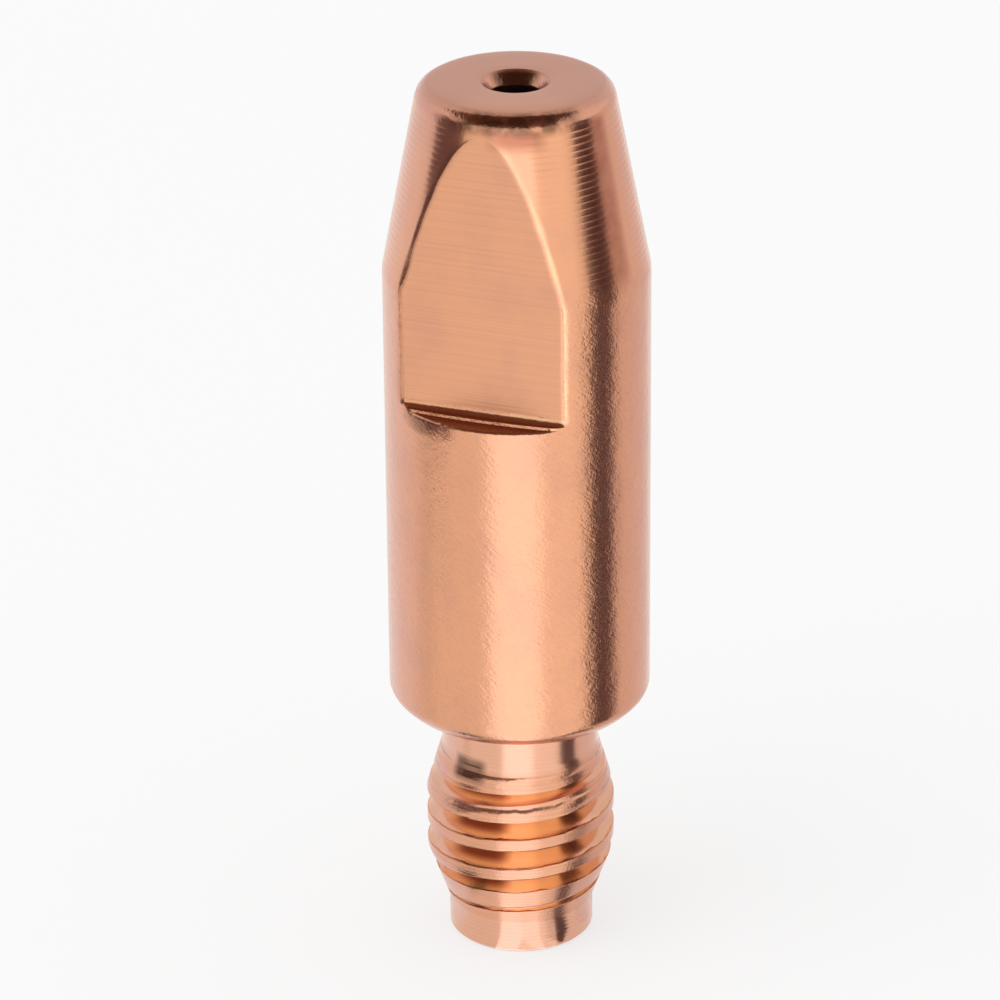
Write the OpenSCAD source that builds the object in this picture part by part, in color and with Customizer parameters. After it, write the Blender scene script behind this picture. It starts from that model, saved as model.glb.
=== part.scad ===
// Copper contact tip for a welding torch: one turned piece with a wire bore, two spanner flats and a male thread.
// The axis is Z. The rear end stands on z = 0 and the nose points up. The flats face -Y and +Y.

/* [Body] */
// Length from the rear end to the nose
overall_length = 28; // [26:0.5:40]
// Diameter of the body
body_d = 8; // [7.5:0.1:10]
// Length of the shank, from the rear end to the seat
shank_length = 8; // [7.5:0.1:9]
// Chamfer on the body's edge at the seat
seat_chamfer = 0.4; // [0.1:0.05:0.6]

/* [Nose] */
// Length of the taper
nose_length = 5.8; // [4:0.1:8]
// Diameter where the taper meets the end face
nose_d = 5.76; // [5:0.02:6.6]
// Radius of the rounded edge round the end face
nose_round = 0.54; // [0.2:0.02:0.7]

/* [Spanner flats] */
// Distance across the two flats
flats_across = 6.08; // [5.6:0.02:7]
// Length of the flats, from the nose end to their ledge
flats_length = 9.5; // [8.5:0.1:12]

/* [Wire bore] */
// Diameter of the bore
bore_d = 1.5; // [0.8:0.1:1.9]
// Diameter of the countersink at the nose
exit_d = 2.05; // [2:0.01:2.6]
// Depth of the countersink at the nose
exit_depth = 0.4; // [0.1:0.05:0.8]
// Diameter of the wire's funnel at the rear end
entry_d = 3; // [2.4:0.1:3.4]
// Depth of the wire's funnel
entry_depth = 1; // [0.4:0.1:1.6]

/* [Thread] */
// Diameter over the crests
thread_d = 5.8; // [5.8:0.05:6]
// Pitch of the right-hand thread
thread_pitch = 1; // [0.9:0.05:1.1]
// Depth of the thread
thread_depth = 0.6; // [0.5:0.01:0.6]
// Angle that the thread is turned about the axis
thread_turn = 260; // [0:10:350]
// Length over which the thread runs out at the neck
runout_length = 1.45; // [1.2:0.05:1.7]
// Length of the lead-in taper below the thread
lead_length = 1.85; // [1.5:0.05:2]
// Diameter of the neck between the thread and the seat
neck_d = 4.5; // [4.3:0.02:4.5]
// Length of the plain neck
neck_length = 2.05; // [2.02:0.01:2.4]
// Diameter of the plain pilot at the rear end
pilot_d = 4.46; // [4.2:0.02:4.5]
// Length of the pilot
pilot_length = 1.05; // [0.9:0.05:1.3]
// Chamfer on the pilot's end
pilot_chamfer = 0.12; // [0.05:0.01:0.25]

/* [Hidden] */
// Sides of round surfaces
$fn = 96;
// Sides of one turn of the thread
thread_sides = 40;
// Half of the angle between the thread's flanks
flank_angle = 25;
// How far one solid runs into the next, and a cutter past the surface that it cuts
lap = 0.15;
past = 1;
copper = [0.85, 0.53, 0.38];

seat_z = shank_length;
taper_z = overall_length - nose_length;
neck_z = seat_z - neck_length;
ledge_z = overall_length - flats_length;

// Heights between which the crests have their full diameter
crest_low_z = pilot_length + lead_length;
crest_high_z = neck_z - runout_length;

crest_r = thread_d / 2;
root_r = crest_r - thread_depth;
flank_width = thread_depth * tan(flank_angle);
// Crest and root share what the two flanks leave of the pitch, three parts to one
crest_width = (thread_pitch - 2 * flank_width) * 3 / 4;

// Slopes of the tapers at the thread's two ends, in radius for each unit of length
lead_slope = (thread_d - pilot_d) / 2 / lead_length;
runout_slope = (thread_d - neck_d) / 2 / runout_length;

// One pitch of the thread as [share of the pitch from the crest's start, radius]
thread_profile = [
  [0, crest_r],
  [crest_width, crest_r],
  [crest_width + flank_width / 2, crest_r - thread_depth / 2],
  [crest_width + flank_width, root_r],
  [thread_pitch - flank_width, root_r],
  [thread_pitch - flank_width / 2, crest_r - thread_depth / 2],
];

// Largest radius of the thread at height z, inside its two end tapers
function envelope_r(z) = min(
  crest_r,
  crest_r - (crest_low_z - z) * lead_slope,
  crest_r - (z - crest_high_z) * runout_slope
);

// Turned outline of the pilot
module pilot_outline() {
  r = pilot_d / 2;
  polygon([
    [0, 0],
    [r - pilot_chamfer, 0],
    [r, pilot_chamfer],
    [r, pilot_length + lap],
    [0, pilot_length + lap],
  ]);
}

// Turned outline of the neck, the body and the nose
module body_outline() {
  body_r = body_d / 2;
  nose_r = nose_d / 2;
  taper_angle = atan((body_r - nose_r) / nose_length);
  tangent_length = nose_round * tan((90 - taper_angle) / 2);
  face_r = nose_r - tangent_length;
  polygon([
    [0, neck_z - lap],
    [neck_d / 2, neck_z - lap],
    [neck_d / 2, seat_z],
    [body_r - seat_chamfer, seat_z],
    [body_r, seat_z + seat_chamfer],
    [body_r, taper_z],
    [nose_r + tangent_length * sin(taper_angle), overall_length - tangent_length * cos(taper_angle)],
    [face_r, overall_length],
    [0, overall_length],
  ]);
  translate([face_r, overall_length - nose_round]) circle(nose_round);
}

// Threaded length as a solid, wound up the axis and closed by a disc at each end
module thread() {
  stations = len(thread_profile);
  low_z = pilot_length - lap;
  high_z = neck_z + lap;
  // Two turns to spare below and above, which the end planes flatten away
  turns = ceil((high_z - low_z) / thread_pitch) + 4;
  rows = turns * stations;
  start_z = low_z - 2 * thread_pitch;
  points = [
    for (row = [0:rows - 1], side = [0:thread_sides - 1])
      let (
        station = thread_profile[row % stations],
        wound_z = start_z + floor(row / stations) * thread_pitch + station[0] + thread_pitch * side / thread_sides,
        z = max(low_z, min(high_z, wound_z)),
        r = min(station[1], envelope_r(z)),
        angle = 360 * side / thread_sides
      )
        [r * cos(angle), r * sin(angle), z]
  ];
  // Point beside the given one: past the last side the winding goes on one turn higher
  function at(row, side) = side < thread_sides
    ? row * thread_sides + side
    : (row + stations) * thread_sides + side - thread_sides;
  walls = [
    for (row = [0:rows - stations - 2], side = [0:thread_sides - 1])
      each [
        [at(row, side), at(row + 1, side + 1), at(row, side + 1)],
        [at(row, side), at(row + 1, side), at(row + 1, side + 1)],
      ]
  ];
  // Walls that the end planes have flattened to a line or a point are left out
  standing = [
    for (w = walls)
      if (points[w[0]] != points[w[1]] && points[w[1]] != points[w[2]] && points[w[2]] != points[w[0]]) w
  ];
  low_disc = [for (side = [0:thread_sides - 1]) side];
  high_disc = [for (side = [thread_sides - 1:-1:0]) at(rows - 1, side)];
  polyhedron(points, concat(standing, [low_disc, high_disc]));
}

// Wire bore with its funnel at the rear end and its countersink at the nose
module wire_bore() {
  translate([0, 0, -past]) cylinder(d = bore_d, h = overall_length + 2 * past);
  cylinder(d1 = entry_d, d2 = bore_d, h = entry_depth);
  translate([0, 0, overall_length - exit_depth]) cylinder(d1 = bore_d, d2 = exit_d, h = exit_depth);
}

// Path of the cutter that mills one flat, facing +Y
module flat_cut() {
  translate([-body_d / 2 - past, flats_across / 2, ledge_z])
    cube([body_d + 2 * past, body_d / 2 + past, flats_length + past]);
}

module contact_tip() {
  color(copper)
    difference() {
      union() {
        rotate_extrude() pilot_outline();
        rotate_extrude() body_outline();
        rotate(thread_turn) thread();
      }
      wire_bore();
      flat_cut();
      mirror([0, 1, 0]) flat_cut();
    }
}

contact_tip();
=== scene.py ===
"""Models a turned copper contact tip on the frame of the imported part, with its finish and a small studio."""

import math
from types import SimpleNamespace

import bmesh
import bpy
from bpy.props import FloatProperty, FloatVectorProperty, IntProperty, PointerProperty
from mathutils import Matrix, Vector, noise


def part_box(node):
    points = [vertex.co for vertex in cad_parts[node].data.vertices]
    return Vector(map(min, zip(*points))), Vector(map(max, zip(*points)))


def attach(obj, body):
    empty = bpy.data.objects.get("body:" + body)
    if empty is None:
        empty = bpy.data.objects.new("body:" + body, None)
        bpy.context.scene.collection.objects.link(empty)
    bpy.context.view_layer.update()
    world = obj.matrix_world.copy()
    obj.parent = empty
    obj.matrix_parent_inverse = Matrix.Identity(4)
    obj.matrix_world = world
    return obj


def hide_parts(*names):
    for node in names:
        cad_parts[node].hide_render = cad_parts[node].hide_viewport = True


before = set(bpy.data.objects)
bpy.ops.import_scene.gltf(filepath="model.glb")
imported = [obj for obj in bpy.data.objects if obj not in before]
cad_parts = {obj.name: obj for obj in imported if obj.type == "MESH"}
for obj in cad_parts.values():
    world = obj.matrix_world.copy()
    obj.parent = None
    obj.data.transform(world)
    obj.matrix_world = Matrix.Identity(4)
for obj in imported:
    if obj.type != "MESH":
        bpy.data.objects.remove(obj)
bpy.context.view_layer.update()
TIP_LOW, TIP_HIGH = (Vector(corner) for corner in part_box("contact_tip"))

bl_info = {
    "name": "Welding contact tip",
    "version": (1, 0, 0),
    "blender": (4, 5, 0),
    "location": "View3D > Sidebar > Contact tip",
    "description": "Models a turned copper contact tip and the studio around it",
    "category": "Object",
}

# The mesh is modelled in millimetres and scaled to metres when it is done
MM = 0.001

# Small details of the shape, in millimetres

# Height between two rows that make one sharp step
SPLIT = 0.004
# Distance within which two points become one
MERGE = 0.0005
# Longest cells along the turned outline: on the nose's taper, down the bore and elsewhere
TAPER_CELL = 0.075
BORE_CELL = 3.0
CELL = 0.5
# Roundings at the ends of the full crests, at the neck's foot, on both sides of the seat's chamfer and
# where the nose's taper starts
CREST_END_ROUND = 0.3
NECK_ROUND = 0.6
SEAT_ROUND = 0.2
CHAMFER_ROUND = 0.5
SHOULDER_ROUND = 1.5
# Rounding at the thread's root, and how far its cutter stands out past the crests
ROOT_ROUND = 0.03
CUTTER_PAST = 0.3
# How far the step on a ledge leans out at its foot
STEP_LEAN = 0.03
# Rows of the lip under a ledge, as depth below the ledge and how far the row is pulled in
LIP_ROWS = ((SPLIT, 0.06), (0.04, 0.02))
# Depth of the row below the lip, which stays round
LIP_FOOT = 0.1
# Distance from the flat's plane over which the lip grows, and the most that its points stray
LIP_FADE = 0.4
LIP_STRAY = 0.008

# Other details of the shape

# How far out the thread's tool has drawn for each length that it goes on
DRAW_SLOPE = 0.4
# Steps in one turn of the thread, and in the rounding at its root
THREAD_STEPS = 128
ROOT_STEPS = 3
# Degrees between two rows of a ledge's fillet
FILLET_STEP = 15
# Share by which a rim's rounding varies, and how many times in a millimetre
RIM_UNEVEN = 0.6
RIM_GRAIN = 1.5
# Largest angle between two faces that are shaded as one surface
SMOOTH_ANGLE = math.radians(35)

# Sides of the axis where light and shade are painted, in degrees to the right of the front flat

FRONT = 20
LEFT_VALLEY_REFLECTION = -13
RIGHT_VALLEY_REFLECTION = 58
NOSE_GLINTS = 67
NECK_REFLECTION = -20

# Studio

# Side of the floor in metres, and the share of it that shines by itself where it is seen
FLOOR_SIDE = 4
FLOOR_SHINE = 0.65
# Strength of the surround where it is seen, and as a lamp
SURROUND_SEEN = 1.0
SURROUND_LIGHT = 0.85
# Soft light: turn in degrees to the right from the camera's side, then distance from the axis, height and
# side in metres, and power in watts
KEY_TURN = -60
KEY_REACH = 0.4
KEY_HEIGHT = 0.5
KEY_SIDE = 0.5
KEY_POWER = 0.9
# Radius about which the wedges are laid out, and their height over the floor
MEAN_RADIUS = 3.1 * MM
WEDGE_LIFT = 0.05 * MM
# Surfaces of the cards that shine, as strength and tint
GLOWS = {
    "ember": (0.15, (1, 0.5, 0.35)),
    "brown": (0.1, (1, 0.62, 0.75)),
    "soft_brown": (0.15, (1, 0.62, 0.75)),
    "back_shade": (0.85, (1, 1, 1)),
    "side_shade": (0.8, (1, 1, 1)),
    "rosy_shade": (0.79, (1.03, 0.97, 1.02)),
    "cool": (0.94, (0.98, 1, 1.12)),
    "bright": (1.6, (0.95, 1, 1.1)),
    "soft": (1.12, (1, 1, 1)),
}
# Cards that face the tip: turn in degrees to the right from the camera's side, then distance from the axis,
# height, width and length in millimetres, and the surface
PANELS = (
    ("overhead_card", -8, 52, 122, 260, 190, "ember"),
    ("back_card", 180, 150, 120, 400, 200, "back_shade"),
)
# Cards that lie on the floor: turn to the right from the camera's side and half angle in degrees, then start,
# end and rise at the end in millimetres, and the surface
WEDGES = (
    ("left_card", -77, 19, 54, 60, 50, "soft_brown"),
    ("left_dark", -74, 13, 3.5, 7, 0, "black"),
    ("right_near", 77, 13, 1.8, 9, 0, "brown"),
    ("right_far", 77, 13, 11, 60, 33, "brown"),
    ("left_shade", -88, 7, 14, 60, 10, "side_shade"),
    ("left_cool", -121, 25, 1.8, 60, 50, "cool"),
    ("right_shade", 120, 30, 1.8, 60, 34, "rosy_shade"),
    ("front_glow", -3, 21, 1.8, 60, 45, "bright"),
    ("side_glow", 37, 18, 1.8, 60, 45, "soft"),
)


# Sizes and colours


def length(name, description, millimetres):
    """A length, kept in metres."""
    return FloatProperty(
        name=name, description=description, default=millimetres * MM, min=0, unit="LENGTH", precision=5
    )


def angle(name, description, degrees):
    """An angle, kept in radians."""
    return FloatProperty(name=name, description=description, default=math.radians(degrees), subtype="ANGLE")


def colour(name, description, value):
    """A colour without alpha."""
    return FloatVectorProperty(
        name=name, description=description, subtype="COLOR", default=value, min=0, max=1
    )


class TipSizes(bpy.types.PropertyGroup):
    """Sizes of the turned piece."""

    overall: FloatProperty(
        name="Overall length",
        description="From the rear end to the nose",
        default=TIP_HIGH.z - TIP_LOW.z,
        unit="LENGTH",
    )
    body: FloatProperty(
        name="Body diameter",
        description="Diameter of the plain body",
        default=TIP_HIGH.x - TIP_LOW.x,
        unit="LENGTH",
    )
    shank: length("Shank length", "From the rear end to the seat under the body", 8)
    seat_chamfer: length("Seat chamfer", "Chamfer on the body's edge at the seat", 0.4)
    nose: length("Taper length", "Length of the nose's taper", 5.8)
    nose_end: length("Nose diameter", "Diameter where the taper would meet the end face", 5.76)
    nose_round: length("Nose rounding", "Radius of the edge round the end face", 0.54)
    flats: length("Across flats", "Distance between the two spanner flats", 6.08)
    flats_run: length("Flats length", "From the nose end to the flats' ledge", 9.5)
    bore: length("Bore diameter", "Diameter of the wire bore", 1.5)
    mouth: length("Mouth diameter", "Diameter of the bore's countersink at the nose", 2.05)
    mouth_depth: length("Mouth depth", "Depth of the countersink at the nose", 0.4)
    funnel: length("Funnel diameter", "Diameter of the wire's funnel at the rear end", 3)
    funnel_depth: length("Funnel depth", "Depth of the wire's funnel", 1)
    crest: length("Crest diameter", "Diameter over the thread's crests", 5.8)
    pitch: length("Pitch", "Pitch of the right-hand thread", 1)
    depth: length("Thread depth", "From crest to root", 0.6)
    crest_land: length("Crest width", "Width of the crests", 0.4)
    first_crest: length("First crest", "Height of the lowest crest's middle where the thread starts", 1.065)
    runout: length("Run-out length", "Length over which the thread runs out at the neck", 1.7)
    draw_back: length("Draw-back length", "Length at the thread's end over which the tool draws back", 0.9)
    lead: length("Lead-in length", "Length of the taper below the thread", 1.85)
    neck: length("Neck diameter", "Diameter of the neck under the seat", 4.8)
    neck_run: length("Neck length", "Length of the plain neck", 1.5)
    pilot: length("Pilot diameter", "Diameter of the plain rear end", 4.46)
    pilot_run: length("Pilot length", "Length of the plain rear end", 1.05)
    pilot_chamfer: length("Pilot chamfer", "Chamfer on the rear end", 0.12)
    edge: length("Edge rounding", "Radius of the small roundings on the turned edges", 0.08)
    crest_round: length("Crest rounding", "Radius of the crests' edges", 0.07)
    ledge_fillet: length("Ledge fillet", "Radius between a flat and its ledge", 0.18)
    ledge_step: length("Ledge step", "Height of the step that the cutter left on a ledge", 0.07)
    ledge_bow: length("Ledge bow", "How far that step bows out at its middle", 0.15)
    rim: length("Rim rounding", "Radius of the flats' rims", 0.45)
    flank: angle("Flank angle", "Half of the angle between the thread's flanks", 25)
    thread_turn: angle("Thread turn", "Angle that the thread is turned about the axis", 260)
    sides: IntProperty(name="Sides", description="Sides of the round surfaces", default=416, min=32)


class TipFinish(bpy.types.PropertyGroup):
    """Colours and gloss of the copper."""

    copper: colour("Copper", "Colour of the tumbled surface", (0.80, 0.375, 0.20))
    rosy: colour("Rosy copper", "Colour of the dull patches and the end face", (0.63, 0.295, 0.20))
    pale: colour("Pale copper", "Colour of the turned neck, crests and pilot", (0.83, 0.45, 0.30))
    # Fresh copper also paints the highlight on the flats' right rims
    fresh: colour("Fresh copper", "Colour of the thread's lower flanks and polished rims", (0.98, 0.64, 0.33))
    # Red paints dark reflections in the valleys and glints on the nose, and with tarnish a reflection on its
    # front
    red: colour("Red copper", "Colour of the stains on the thread and the nose", (0.30, 0.06, 0.025))
    # Sooty also paints shade in the bore, the mouth, under the front ledge and on left rims, and reflections
    # on the nose and neck
    sooty: colour("Sooty copper", "Colour of the bore, the soot and the smears", (0.10, 0.05, 0.03))
    gloss: FloatProperty(
        name="Roughness", description="Roughness of the tumbled surface", default=0.17, min=0, max=1
    )


class StudioLook(bpy.types.PropertyGroup):
    """Camera and floor."""

    camera_reach: length("Camera reach", "Level distance from the axis to the camera", 141.75)
    camera_height: length("Camera height", "Height of the camera over the floor", 80.48)
    camera_turn: angle("Camera turn", "How far the camera stands to the right of the front flat", 19.85)
    camera_pan: angle("Camera pan", "How far the camera looks to the left of the axis", 0.225)
    camera_pitch: angle("Camera pitch", "How far the camera looks down", 24.96)
    camera_roll: angle("Camera roll", "Lean of the camera", -0.518)
    lens: FloatProperty(name="Lens", description="Focal length in millimetres", default=185.82)
    floor: colour("Floor", "Colour of the floor", (0.9, 0.9, 0.9))


def read_sizes(sizes):
    """The tip's sizes, with lengths in millimetres, and the heights at which its shape changes."""
    tip = SimpleNamespace()
    for name in TipSizes.__annotations__:
        value = getattr(sizes, name)
        is_length = sizes.bl_rna.properties[name].unit == "LENGTH"
        setattr(tip, name, value / MM if is_length else value)
    tip.crest_low_z = tip.pilot_run + tip.lead
    tip.neck_z = tip.shank - tip.neck_run
    tip.crest_high_z = tip.neck_z - tip.runout
    tip.ledge_z = tip.overall - tip.flats_run
    tip.taper_z = tip.overall - tip.nose
    return tip


# Outlines and selections


def fillet(before, corner, after, radius, steps=4):
    """Points of the arc that rounds a corner of an outline."""
    to_before = (before - corner).normalized()
    to_after = (after - corner).normalized()
    half = to_before.angle(to_after) / 2
    centre = corner + (to_before + to_after).normalized() * radius / math.sin(half)
    start = corner + to_before * radius / math.tan(half) - centre
    turn = math.pi - 2 * half
    if to_before.cross(to_after) > 0:
        turn = -turn
    return [centre + Matrix.Rotation(turn * step / steps, 2) @ start for step in range(steps + 1)]


def outline(corners):
    """A closed outline from corners of (radius, height, rounding, longest cell on the side that follows)."""
    places = [Vector(corner[:2]) for corner in corners]
    arcs = []
    for index, (_, _, rounding, _) in enumerate(corners):
        before, corner, after = places[index - 1], places[index], places[(index + 1) % len(places)]
        arcs.append(fillet(before, corner, after, rounding) if rounding else [corner])
    points = []
    for arc, following, (_, _, _, cell) in zip(arcs, arcs[1:] + arcs[:1], corners, strict=True):
        points += arc
        side = following[0] - arc[-1]
        cells = max(1, math.ceil(side.length / cell))
        points += [arc[-1] + side * step / cells for step in range(1, cells)]
    return points


def draw_outline(name, points):
    """A new mesh object in edit mode with a closed line through the points, in the XZ plane."""
    bpy.ops.object.select_all(action="DESELECT")
    bpy.ops.mesh.primitive_plane_add(size=1)
    piece = bpy.context.object
    piece.name = name
    piece.data.name = name
    bpy.ops.object.mode_set(mode="EDIT")
    bpy.ops.mesh.select_mode(type="VERT")
    bpy.ops.mesh.merge(type="CENTER")
    bpy.ops.transform.translate(value=(points[0].x, 0, points[0].y))
    for point, following in zip(points, points[1:]):
        step = following - point
        bpy.ops.mesh.extrude_region_move(TRANSFORM_OT_translate={"value": (step.x, 0, step.y)})
    # The line's two ends are joined
    mesh = bmesh.from_edit_mesh(piece.data)
    for vertex in mesh.verts:
        vertex.select_set(len(vertex.link_edges) == 1)
    bmesh.update_edit_mesh(piece.data)
    bpy.ops.mesh.edge_face_add()
    bpy.ops.mesh.select_all(action="SELECT")
    return piece


def select_where(piece, wanted):
    """In edit mode, selects only the vertices whose place passes the test."""
    bpy.ops.mesh.select_mode(type="VERT")
    bpy.ops.mesh.select_all(action="DESELECT")
    mesh = bmesh.from_edit_mesh(piece.data)
    for vertex in mesh.verts:
        vertex.select_set(wanted(vertex.co))
    mesh.select_flush_mode()
    bmesh.update_edit_mesh(piece.data)


# Turned blank


def ledge_rows(tip):
    """Rows over a ledge: height, how far from the axis the flat's cutter has gone, and that path's bow."""
    reach = tip.flats / 2
    foot = reach + tip.ledge_fillet
    step_z = tip.ledge_z + tip.ledge_step
    rows = [(tip.ledge_z, foot + STEP_LEAN, tip.ledge_bow), (step_z, foot, tip.ledge_bow)]
    for degrees in range(0, 91, FILLET_STEP):
        turn = math.radians(degrees)
        height = step_z + SPLIT + tip.ledge_fillet * (1 - math.cos(turn))
        rows.append((height, reach + tip.ledge_fillet * (1 - math.sin(turn)), 0))
    return rows


def blank_corners(tip):
    """Corners of the turned blank, from the funnel at the rear end out, up and back down the bore."""
    body_r = tip.body / 2
    small = tip.edge / 2
    row_heights = [tip.ledge_z - LIP_FOOT]
    row_heights += [tip.ledge_z - drop for drop, _ in reversed(LIP_ROWS)]
    row_heights += [height for height, _, _ in ledge_rows(tip)]
    return [
        (tip.funnel / 2, 0, small, CELL),
        (tip.pilot / 2 - tip.pilot_chamfer, 0, small, CELL),
        (tip.pilot / 2, tip.pilot_chamfer, small, CELL),
        (tip.pilot / 2, tip.pilot_run, 0, CELL),
        (tip.crest / 2, tip.crest_low_z, CREST_END_ROUND, CELL),
        (tip.crest / 2, tip.crest_high_z, CREST_END_ROUND, CELL),
        (tip.neck / 2, tip.neck_z, NECK_ROUND, CELL),
        (tip.neck / 2, tip.shank, 2 * tip.edge, CELL),
        (body_r - tip.seat_chamfer, tip.shank, SEAT_ROUND, CELL),
        (body_r, tip.shank + tip.seat_chamfer, CHAMFER_ROUND, CELL),
        *((body_r, height, 0, CELL) for height in row_heights),
        (body_r, tip.taper_z, SHOULDER_ROUND, TAPER_CELL),
        (tip.nose_end / 2, tip.overall, tip.nose_round, CELL),
        (tip.mouth / 2, tip.overall, small, CELL),
        (tip.bore / 2, tip.overall - tip.mouth_depth, tip.edge, BORE_CELL),
        (tip.bore / 2, tip.funnel_depth, tip.edge, CELL),
    ]


def turn_blank(tip):
    """The tip as it leaves the lathe, before its thread and flats are cut."""
    piece = draw_outline("turned_tip", outline(blank_corners(tip)))
    bpy.ops.mesh.spin(
        steps=tip.sides, angle=2 * math.pi, center=(0, 0, 0), axis=(0, 0, 1), use_auto_merge=True
    )
    bpy.ops.mesh.select_all(action="SELECT")
    bpy.ops.mesh.remove_doubles(threshold=MERGE)
    bpy.ops.mesh.normals_make_consistent(inside=False)
    return piece


# Spanner flats


def cutter_reach(rows, height, across):
    """How far from the axis the flat's cutter has gone at a place, and None below the ledge.

    Across is that place's distance from the flat's middle, from 0 to 1 at its rims.
    """
    if height < rows[0][0] - SPLIT / 2:
        return None
    reaches = [(low, reach + bow * max(0, 1 - across * across)) for low, reach, bow in rows]
    for (low, low_reach), (high, high_reach) in zip(reaches, reaches[1:]):
        if height < high - SPLIT / 2:
            share = min(1, max(0, (height - low) / (high - low)))
            return low_reach + (high_reach - low_reach) * share
    return reaches[-1][1]


def soft_least(first, second, soft):
    """The smaller of two values, less a little where they are about the same."""
    share = min(1, max(0, 0.5 + (first - second) / (2 * soft)))
    return first + (second - first) * share - soft * share * (1 - share)


def mill_flats(piece, tip):
    """Both spanner flats: what stands past the cutter's path goes back to it, and the rims are rounded."""
    rows = ledge_rows(tip)
    half_width = math.sqrt(tip.body**2 - tip.flats**2) / 2
    taper = (tip.body - tip.nose_end) / 2 / tip.nose
    mesh = bmesh.from_edit_mesh(piece.data)
    for vertex in mesh.verts:
        reach = cutter_reach(rows, vertex.co.z, vertex.co.x / half_width)
        if reach is None:
            continue
        # A rim is softer where the two surfaces meet at a larger angle, and tumbling left it uneven
        uneven = 1 + RIM_UNEVEN * noise.noise(vertex.co * RIM_GRAIN)
        soft = uneven * tip.rim * (math.hypot(1, vertex.co.x / reach, taper) - 1)
        near = soft_least(reach, abs(vertex.co.y), soft)
        vertex.co.y = math.copysign(near, vertex.co.y)
    bmesh.update_edit_mesh(piece.data)


def wear_lips(piece, tip):
    """The ragged lip that the cutter left at each ledge."""
    reach = tip.flats / 2
    body_r = tip.body / 2
    for drop, pull in LIP_ROWS:
        row_z = tip.ledge_z - drop
        select_where(
            piece, lambda place, row_z=row_z: abs(place.z - row_z) < SPLIT / 2 and abs(place.y) > reach
        )
        mesh = bmesh.from_edit_mesh(piece.data)
        for vertex in mesh.verts:
            if vertex.select:
                # The lip dies out towards the flat's rims
                share = min(1, (abs(vertex.co.y) - reach) / LIP_FADE)
                vertex.co.xy *= 1 - pull * share / body_r
        bmesh.update_edit_mesh(piece.data)
        bpy.ops.transform.vertex_random(offset=LIP_STRAY, seed=4)


# Thread


def valley_outline(tip):
    """Outline of the thread's valley, with its middle at height 0."""
    crest_r = tip.crest / 2
    flank_width = tip.depth * math.tan(tip.flank)
    root = Vector((crest_r - tip.depth, (tip.pitch - tip.crest_land) / 2 - flank_width))
    edge = Vector((crest_r, root.y + flank_width))
    upper = fillet(Vector((root.x, 0)), root, edge, ROOT_ROUND, ROOT_STEPS)
    upper += fillet(root, edge, edge + Vector((0, 1)), tip.crest_round)
    upper.append(upper[-1] + Vector((CUTTER_PAST, 0)))
    return [Vector((point.x, -point.y)) for point in reversed(upper)] + upper


def thread_cutter(tip):
    """The helical valley as a solid, swept by a screw."""
    # A valley's middle lies half a pitch below a crest's, and the sweep starts one turn lower
    start = tip.first_crest - 1.5 * tip.pitch
    cutter = draw_outline("thread_cutter", [point + Vector((0, start)) for point in valley_outline(tip)])
    bpy.ops.object.mode_set(mode="OBJECT")
    sweep = cutter.modifiers.new("helix", "SCREW")
    sweep.axis = "Z"
    sweep.angle = 2 * math.pi
    sweep.screw_offset = tip.pitch
    sweep.iterations = math.ceil((tip.neck_z - start) / tip.pitch)
    sweep.steps = THREAD_STEPS
    sweep.render_steps = THREAD_STEPS
    sweep.use_merge_vertices = False
    bpy.ops.object.modifier_apply(modifier=sweep.name)
    # The tool draws back as it nears the neck
    for vertex in cutter.data.vertices:
        drawn = max(0, vertex.co.z - tip.neck_z + tip.draw_back) * DRAW_SLOPE
        radius = vertex.co.xy.length
        vertex.co.xy *= (radius + drawn) / radius
    bpy.ops.object.mode_set(mode="EDIT")
    bpy.ops.mesh.select_all(action="SELECT")
    bpy.ops.mesh.fill_holes(sides=0)
    bpy.ops.mesh.select_all(action="SELECT")
    bpy.ops.mesh.normals_make_consistent(inside=False)
    bpy.ops.transform.rotate(value=-tip.thread_turn, orient_axis="Z", center_override=(0, 0, 0))
    bpy.ops.object.mode_set(mode="OBJECT")
    return cutter


def cut_thread(piece, cutter):
    """Takes the cutter's solid out of the blank and then deletes the cutter."""
    bpy.context.view_layer.objects.active = piece
    cut = piece.modifiers.new("thread", "BOOLEAN")
    cut.operation = "DIFFERENCE"
    cut.solver = "EXACT"
    cut.object = cutter
    bpy.ops.object.modifier_apply(modifier=cut.name)
    bpy.data.objects.remove(cutter, do_unlink=True)


def bring_to_scale(piece):
    """From millimetres to metres, in the mesh itself."""
    bpy.ops.object.mode_set(mode="EDIT")
    bpy.ops.mesh.select_all(action="SELECT")
    bpy.ops.transform.resize(value=(MM, MM, MM), center_override=(0, 0, 0))
    bpy.ops.object.mode_set(mode="OBJECT")
    bpy.ops.object.select_all(action="DESELECT")
    piece.select_set(True)
    bpy.ops.object.shade_smooth_by_angle(angle=SMOOTH_ANGLE)


# Shader maths


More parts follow.
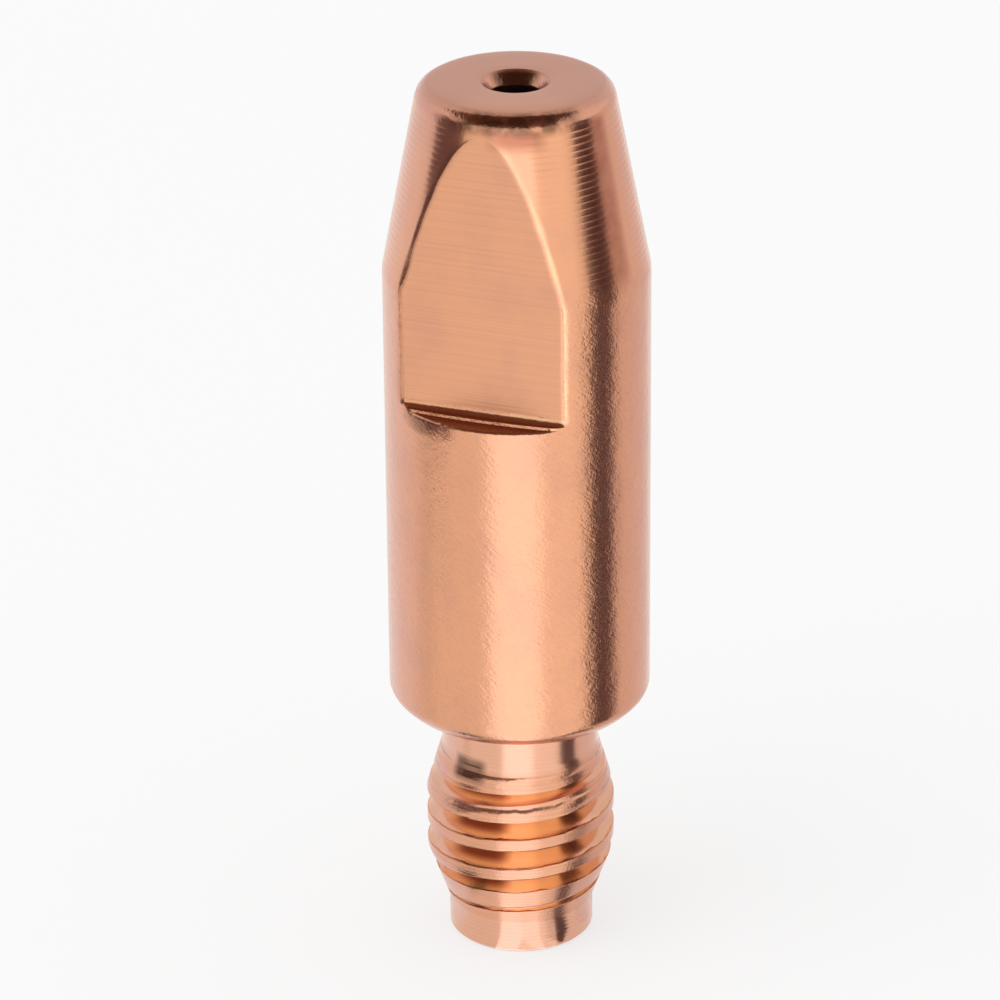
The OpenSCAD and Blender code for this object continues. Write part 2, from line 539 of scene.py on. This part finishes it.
class Wire:
    """An output socket that takes part in Python arithmetic."""

    def __init__(self, tree, socket=None):
        self.tree = tree
        self.socket = socket

    def node(self, kind, settings=None, inputs=None, output=0):
        """Adds a node, sets its settings, then its sockets, and gives one of its outputs."""
        node = self.tree.nodes.new(kind)
        for name, value in (settings or {}).items():
            setattr(node, name, value)
        for name, value in (inputs or {}).items():
            if isinstance(value, Wire):
                self.tree.links.new(value.socket, node.inputs[name])
            else:
                node.inputs[name].default_value = value
        return Wire(self.tree, node.outputs[output] if node.outputs else None)

    def math(self, operation, *values):
        """Adds a Math node on the values."""
        return self.node("ShaderNodeMath", {"operation": operation}, dict(enumerate(values)))

    def __add__(self, other):
        return self.math("ADD", self, other)

    __radd__ = __add__

    def __sub__(self, other):
        return self.math("SUBTRACT", self, other)

    def __rsub__(self, other):
        return self.math("SUBTRACT", other, self)

    def __mul__(self, other):
        return self.math("MULTIPLY", self, other)

    __rmul__ = __mul__

    def __truediv__(self, other):
        return self.math("DIVIDE", self, other)

    def __pow__(self, other):
        return self.math("POWER", self, other)

    def __abs__(self):
        return self.math("ABSOLUTE", self)

    def most(self, other):
        """The larger of two values."""
        return self.math("MAXIMUM", self, other)

    def fraction(self):
        """The part past the whole number below."""
        return self.math("FRACT", self)

    def ramp(self, low, high):
        """0 below low and 1 above high, with a smooth step between."""
        settings = {"interpolation_type": "SMOOTHSTEP"}
        return self.node("ShaderNodeMapRange", settings, {"Value": self, "From Min": low, "From Max": high})

    def band(self, low, full, fading, gone):
        """1 from full to fading, and 0 below low and above gone."""
        return self.ramp(low, full) * (1 - self.ramp(fading, gone))

    def stretched(self, amounts):
        """A place with its three coordinates multiplied."""
        return self.node("ShaderNodeVectorMath", {"operation": "MULTIPLY"}, {0: self, 1: amounts})

    def noise(self, detail=2.0):
        """Smooth noise from about 0 to 1 at a place in space."""
        return self.node("ShaderNodeTexNoise", inputs={"Vector": self, "Scale": 1.0, "Detail": detail})

    def line_noise(self, detail=2.0):
        """Smooth noise from about 0 to 1 along a line."""
        settings = {"noise_dimensions": "1D"}
        return self.node("ShaderNodeTexNoise", settings, {"W": self, "Scale": 1.0, "Detail": detail})

    def scallops(self, pitch):
        """Rounded ridges from 0 to 1 along a line, as a turning tool leaves them."""
        share = (self / pitch).fraction()
        return share * (1 - share) * 4

    def blend(self, first, second):
        """A colour between two, by this factor."""
        return self.node("ShaderNodeMix", {"data_type": "RGBA"}, {0: self, 6: first, 7: second}, output=2)


def empty_material(name):
    """A new material, and the wire that its nodes start from."""
    material = bpy.data.materials.new(name)
    material.use_nodes = True
    material.node_tree.nodes.clear()
    return material, Wire(material.node_tree)


# Copper finish, with places in millimetres


def read_place(start):
    """Where a point of the surface lies: its place, its coordinates and its distance from the axis."""
    metres = start.node("ShaderNodeTexCoord", output="Object")
    place = start.node("ShaderNodeVectorMath", {"operation": "SCALE"}, {"Vector": metres, "Scale": 1 / MM})
    x, y, z = (start.node("ShaderNodeSeparateXYZ", inputs={0: place}, output=axis) for axis in range(3))
    return SimpleNamespace(place=place, x=x, y=y, z=z, r=(x * x + y * y) ** 0.5)


def towards(at, degrees):
    """1 on one side of the axis, this far to the right of the front flat, and less away from it."""
    side = math.radians(degrees)
    return (at.x * math.sin(side) - at.y * math.cos(side)) / at.r


def find_zones(at, tip):
    """Distance from the flats' planes, and a mask from 0 to 1 for each part of the surface."""
    top = tip.overall
    off_flat = abs(abs(at.y) - tip.flats / 2)
    flat = (1 - off_flat.ramp(0.004, 0.03)) * at.z.ramp(tip.ledge_z + 0.25, tip.ledge_z + 0.3)
    cone = at.z.band(tip.taper_z, tip.taper_z + 0.8, top - 0.6, top - 0.35) * (1 - flat)
    end = at.z.ramp(top - 0.12, top - 0.02)
    shank = 1 - at.z.ramp(tip.shank - 0.05, tip.shank)
    return SimpleNamespace(
        off_flat=off_flat,
        flat=flat,
        rim=(1 - off_flat.ramp(0.02, 0.1)) * (1 - flat) * at.z.ramp(tip.ledge_z, tip.ledge_z + 0.3),
        cone=cone,
        end=end,
        shank=shank,
        body=(1 - shank) * (1 - flat) * (1 - cone) * (1 - end),
        pilot=1 - at.z.ramp(tip.pilot_run - 0.05, tip.pilot_run + 0.05),
        bore=1 - at.r.ramp(tip.bore / 2 + 0.005, tip.bore / 2 + 0.03),
    )


def find_thread(at, tip):
    """Masks of the thread, and how far a point lies from a crest's middle and edge and below the crests."""
    crest_r = tip.crest / 2
    spread = math.tan(tip.flank)
    lead_slope = (crest_r - tip.pilot / 2) / tip.lead
    runout_slope = (crest_r - tip.neck / 2) / tip.runout
    lead_drop = ((tip.crest_low_z - at.z) * lead_slope).most(0)
    runout_drop = ((at.z - tip.crest_high_z) * runout_slope).most(0)
    drawn = (at.z - (tip.neck_z - tip.draw_back)).most(0) * DRAW_SLOPE
    turns = (at.y.math("ARCTAN2", at.y, at.x) - tip.thread_turn) / (2 * math.pi)
    winding = (at.z - tip.first_crest) / tip.pitch - turns + 0.5
    over_crest = (winding.fraction() - 0.5) * tip.pitch
    past_land = abs(over_crest) - lead_drop * spread - tip.crest_land / 2
    past_edge = past_land - (runout_drop + drawn) * spread
    whole = at.z.band(tip.pilot_run, tip.pilot_run + 0.1, tip.neck_z - 0.25, tip.neck_z - 0.05)
    crest = (1 - past_edge.ramp(-0.02, 0.02)) * whole
    return SimpleNamespace(
        whole=whole,
        crest=crest,
        valley=whole * (1 - crest),
        runout=at.z.ramp(tip.crest_high_z - 0.1, tip.crest_high_z + 0.3),
        over_crest=over_crest,
        past_land=past_land,
        depth=crest_r - lead_drop - runout_drop - at.r,
    )


def lay_marks(at, zone):
    """What the tools and the tumbling left: grain, waves, pits, dull patches, rings and lines."""
    turned = {"Vector": at.place, "Angle": at.z * 0.25}
    twisted = at.place.node("ShaderNodeVectorRotate", {"rotation_type": "Z_AXIS"}, turned)
    wander = (at.z * 3).line_noise()
    rings = (at.z + wander * 0.02).scallops(0.19) * 7 + (at.z * 9).line_noise()
    return SimpleNamespace(
        grain=twisted.stretched((8, 8, 5.5)).noise(4.0),
        waves=at.place.stretched((1.7, 1.7, 1.7)).noise(),
        pits=at.place.stretched((14, 14, 14)).noise(),
        patches=at.place.stretched((0.7, 0.7, 0.5)).noise(4.0),
        rings=rings * zone.off_flat.ramp(0.05, 0.3),
        fine_lines=(at.z * 9).line_noise(3.0) * 0.7 + (at.z + wander * 0.05).scallops(0.13) * 0.3,
        mill_lines=(at.z * 11 + at.x * 0.1).line_noise(3.0),
    )


def relief(zone, thread, marks):
    """The bump of all marks, with heights in thousandths of a millimetre."""
    past_crest = thread.past_land + (marks.waves - 0.5) * 0.12
    worn = past_crest.ramp(-0.05 - thread.runout * 0.2, 0.02) * thread.whole
    height = (
        marks.rings * zone.cone
        + marks.fine_lines * (2.5 + zone.pilot * 3.5) * (zone.shank * (1 - thread.valley))
        + marks.mill_lines * (zone.flat * 4)
        + marks.grain * (zone.body * 9 + 1)
        + marks.waves * (zone.body * 12 + 3)
        + marks.pits * (thread.crest * 6 + zone.end * 3 + zone.body * 5 + 1)
        - worn * worn * 55
    )
    return height.node("ShaderNodeBump", inputs={"Strength": 1.0, "Distance": MM / 1000, "Height": height})


def bare_tone(at, tip, finish, zone, thread, marks):
    """Colour of the copper with painted shade on the nose's sides and a painted highlight on the right rims,
    before painted reflections, tarnish and shade.
    """
    top = tip.overall
    speckle = (marks.grain.ramp(0.35, 0.75) * 0.25 + marks.pits.ramp(0.5, 0.75) * 0.3) * zone.body
    mottle = marks.patches.ramp(0.42, 0.7) * 0.3 + speckle
    milled = marks.mill_lines.ramp(0.35, 0.7) * zone.flat * 0.3
    ringed = marks.fine_lines.ramp(0.3, 0.7) * zone.shank * (0.45 + zone.pilot * 0.35)
    tone = (mottle + milled + ringed).blend((*finish.copper, 1), (*finish.rosy, 1))
    tone = (zone.shank * (0.65 - thread.crest * 0.5)).blend(tone, (*finish.pale, 1))
    lower_flank = thread.valley * (1 - thread.over_crest.ramp(-0.02, 0.02)) * thread.depth.ramp(0.04, 0.1)
    tone = lower_flank.blend(tone, (*finish.fresh, 1))
    # Nose: the end face is dull, the sides are painted shade and the bare front is a painted highlight
    shaded_nose_sides = at.z.ramp(tip.taper_z, top - 0.3) * (0.25 - towards(at, FRONT).ramp(0.6, 0.95) * 0.25)
    dull_end = at.z.ramp(top - 0.55, top - 0.05) * 0.75
    tone = ((shaded_nose_sides + dull_end) * (1 - zone.flat)).blend(tone, (*finish.rosy, 1))
    # A painted highlight in fresh copper along the flats' right rims
    right_rim = zone.rim * (0 - at.x * at.y).ramp(0.5, 3)
    highlighted = right_rim * (marks.waves.ramp(0.35, 0.65) * 0.3 + 0.15)
    return highlighted.blend(tone, (*finish.fresh, 1))


def find_reflections_and_tarnish(at, tip, zone, thread, marks):
    """How strongly red is painted: as dark reflections in the thread's valleys, as tarnish with a painted
    reflection on the nose's front, and as painted glints on its right side.
    """
    top = tip.overall
    # Painted reflections: dark patches in the thread's valleys on two sides, stronger deeper in the valley
    left = towards(at, LEFT_VALLEY_REFLECTION).ramp(0.88, 0.985) * thread.depth.ramp(0.1, 0.45)
    right = towards(at, RIGHT_VALLEY_REFLECTION).ramp(0.985, 0.998) * thread.depth.ramp(0.05, 0.3)
    # Partly tarnish and partly a painted dark reflection, in a band on the nose's front
    front_tarnish_and_reflection = at.z.band(top - 1.25, top - 0.75, top - 0.6, top - 0.4) * towards(at, FRONT).ramp(0.94, 0.998)
    # Painted reddish glints on the nose's right side, beside the dark streak that it reflects
    nose = zone.cone * towards(at, NOSE_GLINTS).ramp(0.97, 0.996) * (0.3 + marks.waves * 0.5)
    return thread.valley * (left * 0.75 + right * 0.5) + front_tarnish_and_reflection * 0.6 + nose


def find_soot_and_shade(at, tip, zone, marks):
    """How much sooty colour is painted: tarnish with a painted reflection on the nose's front, painted shade
    in its mouth, under the front ledge and on left rims, and a painted reflection on the neck.
    """
    top = tip.overall
    front = towards(at, FRONT)
    rounding = at.z.band(top - 0.75, top - 0.45, top - 0.08, top - 0.01)
    # Tarnish and a painted dark reflection on the front of the nose's rounding
    rounding_tarnish_and_reflection = rounding * front.ramp(0.72, 0.9) * marks.waves.ramp(0.25, 0.65) * 0.75
    # Painted shade on the countersink's far wall, the side away from the front
    countersink = at.z.ramp(top - 0.42, top - 0.38) * (1 - at.r.ramp(tip.mouth / 2 - 0.1, tip.mouth / 2))
    mouth = countersink * (1 - front.ramp(-0.85, -0.5)) * marks.waves.ramp(0.1, 0.5) * 0.8
    # Painted shade under the front ledge's lip
    under_lip = ((at.x + 1.8) / 0.8) ** 2 + ((at.z - tip.ledge_z + 0.22) / 0.38) ** 2
    below = (1 - at.y.ramp(-3, -2.5)) * (1 - at.z.ramp(tip.ledge_z - 0.02, tip.ledge_z))
    shade_under_lip = (1 - under_lip.ramp(0.2, 1)) * below * marks.waves.ramp(0.1, 0.5) * 0.4
    # Painted shadow along the flats' left rims, on the nose's part
    left_rim_shade = zone.rim * (at.x * at.y).ramp(0.5, 3) * at.z.ramp(tip.taper_z - 0.5, tip.taper_z + 1) * 0.35
    # A dark reflection painted on the neck under the seat
    on_neck = at.z.band(tip.neck_z - 0.75, tip.neck_z - 0.4, tip.neck_z, tip.neck_z + 0.3)
    neck_reflection = on_neck * towards(at, NECK_REFLECTION).ramp(0.958, 0.99) * (0.5 + marks.waves * 0.4)
    return rounding_tarnish_and_reflection + mouth + shade_under_lip + left_rim_shade + neck_reflection


def copper_material(tip, finish):
    """Copper as the tools, the tumbling and the heat left it, with shade, reflections and highlights painted
    into its colour in places.
    """
    material, start = empty_material("turned_copper")
    at = read_place(start)
    zone = find_zones(at, tip)
    thread = find_thread(at, tip)
    marks = lay_marks(at, zone)
    soot_and_shade = find_soot_and_shade(at, tip, zone, marks)
    tone = bare_tone(at, tip, finish, zone, thread, marks)
    tone = find_reflections_and_tarnish(at, tip, zone, thread, marks).blend(tone, (*finish.red, 1))
    # Tarnish, and shade and reflections painted in the same sooty colour
    tone = soot_and_shade.blend(tone, (*finish.sooty, 1))
    # The bore is painted near black, as shade in the hole
    tone = zone.bore.blend(tone, (*finish.sooty, 1))
    dulled = marks.patches * 0.06 + zone.end * 0.22 + zone.flat * 0.1 + thread.crest * 0.05 + zone.bore * 0.3
    shader = start.node(
        "ShaderNodeBsdfPrincipled",
        inputs={
            "Base Color": tone,
            "Metallic": 1.0,
            "Roughness": finish.gloss + dulled,
            "Normal": relief(zone, thread, marks),
            "Coat Weight": (1 - soot_and_shade) * 0.42,
            "Coat Roughness": 0.35,
        },
    )
    start.node("ShaderNodeOutputMaterial", inputs={"Surface": shader})
    return material


class TIP_OT_turned_tip(bpy.types.Operator):
    """Turns, mills and threads the copper tip and gives it its finish"""

    bl_idname = "tip.turned_tip"
    bl_label = "Turned tip"

    def execute(self, context):
        tip = read_sizes(context.scene.tip_sizes)
        piece = turn_blank(tip)
        mill_flats(piece, tip)
        wear_lips(piece, tip)
        bpy.ops.object.mode_set(mode="OBJECT")
        cut_thread(piece, thread_cutter(tip))
        bring_to_scale(piece)
        piece.data.materials.append(copper_material(tip, context.scene.tip_finish))
        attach(piece, "root")
        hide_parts("contact_tip")
        return {"FINISHED"}


# Surfaces of the studio


def black_material():
    """Matt black."""
    material = bpy.data.materials.new("black_card")
    material.use_nodes = True
    shader = material.node_tree.nodes["Principled BSDF"]
    shader.inputs["Base Color"].default_value = (0.02, 0.02, 0.02, 1)
    shader.inputs["Roughness"].default_value = 0.9
    shader.inputs["Specular IOR Level"].default_value = 0
    return material


def shining(name, strength, tint):
    """A surface that shines by itself."""
    material, start = empty_material(name)
    glow = start.node("ShaderNodeEmission", inputs={"Color": (*tint, 1), "Strength": strength})
    start.node("ShaderNodeOutputMaterial", inputs={"Surface": glow})
    return material


def seen_directly(start):
    """1 for rays that show a surface to the camera, straight or by a mirror or glass, and 0 for the rest."""
    camera, glossy, glass = (
        start.node("ShaderNodeLightPath", output=ray)
        for ray in ("Is Camera Ray", "Is Glossy Ray", "Is Transmission Ray")
    )
    return camera.most(glossy).most(glass)


def floor_material(look):
    """A pale floor that shows as nearly white and still takes a shadow."""
    material, start = empty_material("pale_floor")
    matt = start.node("ShaderNodeBsdfDiffuse", inputs={"Color": (*look.floor, 1)})
    white = start.node("ShaderNodeEmission", inputs={"Color": (1, 1, 1, 1), "Strength": 1.0})
    share = seen_directly(start) * FLOOR_SHINE
    mixed = start.node("ShaderNodeMixShader", inputs={0: share, 1: matt, 2: white})
    start.node("ShaderNodeOutputMaterial", inputs={"Surface": mixed})
    return material


def light_world():
    """A white surround, as bright as white paper where it is seen, and dimmer as a lamp."""
    world = bpy.data.worlds.new("surround")
    bpy.context.scene.world = world
    world.use_nodes = True
    world.node_tree.nodes.clear()
    start = Wire(world.node_tree)
    strength = seen_directly(start) * (SURROUND_SEEN - SURROUND_LIGHT) + SURROUND_LIGHT
    background = start.node("ShaderNodeBackground", inputs={"Color": (1, 1, 1, 1), "Strength": strength})
    start.node("ShaderNodeOutputWorld", inputs={"Surface": background})


# Cards, light and camera


def round_the_tip(turn, reach, height, look):
    """A place round the tip, turned to the right from the camera's side."""
    side = look.camera_turn + turn
    return (reach * math.sin(side), -reach * math.cos(side), height)


def add_plane(name, size, place, facing, material):
    """A flat card of the given width and length that faces a point."""
    bpy.ops.object.select_all(action="DESELECT")
    bpy.ops.mesh.primitive_plane_add(size=1, location=place)
    card = bpy.context.object
    card.name = name
    card.scale = (*size, 1)
    card.rotation_euler = (Vector(facing) - Vector(place)).to_track_quat("Z", "Y").to_euler()
    card.data.materials.append(material)
    return card


def add_wedge(name, turn, spread, near, far, rise, look, material):
    """A card that lies on the floor, widens away from the tip and turns up at its far end.

    Turn is the middle of the wedge, to the right from the camera's side, and spread is half of its angle.
    """
    # A round surface shows what lies at twice its own turn, so the wedge starts beside the axis
    beside = MEAN_RADIUS * math.sin(turn / 2)
    bpy.ops.object.select_all(action="DESELECT")
    bpy.ops.mesh.primitive_plane_add(size=2)
    card = bpy.context.object
    card.name = name
    bpy.ops.object.mode_set(mode="EDIT")
    for side, along in ((1, far), (-1, near)):
        select_where(card, lambda corner, side=side: corner.y * side > 0)
        width = along * math.tan(spread)
        bpy.ops.transform.resize(value=(width, 0, 1), center_override=(0, along, 0))
    select_where(card, lambda corner: corner.y > (near + far) / 2)
    if rise:
        bpy.ops.mesh.extrude_region_move(TRANSFORM_OT_translate={"value": (0, 0, rise)})
    bpy.ops.object.mode_set(mode="OBJECT")
    card.location = round_the_tip(turn - math.pi / 2, beside, WEDGE_LIFT, look)
    card.rotation_euler.z = look.camera_turn + turn + math.pi
    card.data.materials.append(material)
    return card


def add_cards(look, middle):
    """Cards round the tip that show only in its reflections."""
    surfaces = {name: shining(name, strength, tint) for name, (strength, tint) in GLOWS.items()}
    surfaces["black"] = black_material()
    cards = []
    for name, degrees, *lengths, surface in PANELS:
        reach, height, width, run = (value * MM for value in lengths)
        place = round_the_tip(math.radians(degrees), reach, height, look)
        cards.append(add_plane(name, (width, run), place, middle, surfaces[surface]))
    for name, degrees, half_degrees, *lengths, surface in WEDGES:
        near, far, rise = (value * MM for value in lengths)
        turn, spread = math.radians(degrees), math.radians(half_degrees)
        cards.append(add_wedge(name, turn, spread, near, far, rise, look, surfaces[surface]))
    for card in cards:
        card.visible_camera = False
        card.visible_diffuse = False
        card.visible_shadow = False


def add_light(look, middle):
    """A soft square light that faces the tip and shows in no reflection."""
    data = bpy.data.lights.new("key_softbox", "AREA")
    data.shape = "SQUARE"
    data.size = KEY_SIDE
    data.energy = KEY_POWER
    light = bpy.data.objects.new("key_softbox", data)
    bpy.context.scene.collection.objects.link(light)
    light.location = round_the_tip(math.radians(KEY_TURN), KEY_REACH, KEY_HEIGHT, look)
    light.rotation_euler = (Vector(middle) - light.location).to_track_quat("-Z", "Y").to_euler()
    light.visible_glossy = False


def add_camera(look):
    """The camera at the photograph's viewpoint."""
    data = bpy.data.cameras.new("camera")
    data.lens = look.lens
    data.sensor_width = 36
    data.clip_start = 0.01
    camera = bpy.data.objects.new("camera", data)
    bpy.context.scene.collection.objects.link(camera)
    turn = Matrix.Rotation(look.camera_turn + look.camera_pan, 4, "Z")
    tilt = Matrix.Rotation(math.pi / 2 - look.camera_pitch, 4, "X")
    lean = Matrix.Rotation(look.camera_roll, 4, "Z")
    place = Matrix.Translation(round_the_tip(0, look.camera_reach, look.camera_height, look))
    camera.matrix_world = place @ turn @ tilt @ lean
    bpy.context.scene.camera = camera


class TIP_OT_studio(bpy.types.Operator):
    """Lays the floor and sets the cards that the tip reflects, the light and the camera"""

    bl_idname = "tip.studio"
    bl_label = "Studio"

    def execute(self, context):
        look = context.scene.tip_studio
        middle = (0, 0, TIP_HIGH.z / 2)
        floor_size = (FLOOR_SIDE, FLOOR_SIDE)
        add_plane("floor", floor_size, (0, 0, TIP_LOW.z), (0, 0, 1), floor_material(look))
        add_cards(look, middle)
        add_light(look, middle)
        light_world()
        add_camera(look)
        context.scene.view_settings.view_transform = "Standard"
        return {"FINISHED"}


class TIP_PT_panel(bpy.types.Panel):
    """Lists the piece, the studio and their settings"""

    bl_idname = "TIP_PT_panel"
    bl_label = "Contact tip"
    bl_space_type = "VIEW_3D"
    bl_region_type = "UI"
    bl_category = "Contact tip"

    def draw(self, context):
        layout = self.layout
        for operator in (TIP_OT_turned_tip, TIP_OT_studio):
            layout.operator(operator.bl_idname)
        for group in (context.scene.tip_sizes, context.scene.tip_finish, context.scene.tip_studio):
            for name in type(group).__annotations__:
                layout.prop(group, name)


CLASSES = (TipSizes, TipFinish, StudioLook, TIP_OT_turned_tip, TIP_OT_studio, TIP_PT_panel)
GROUPS = {"tip_sizes": TipSizes, "tip_finish": TipFinish, "tip_studio": StudioLook}


def register():
    for cls in CLASSES:
        bpy.utils.register_class(cls)
    for name, group in GROUPS.items():
        setattr(bpy.types.Scene, name, PointerProperty(type=group))


def unregister():
    for name in GROUPS:
        delattr(bpy.types.Scene, name)
    for cls in reversed(CLASSES):
        bpy.utils.unregister_class(cls)


def main():
    register()
    bpy.ops.tip.turned_tip()
    bpy.ops.tip.studio()


if __name__ == "__main__":
    main()
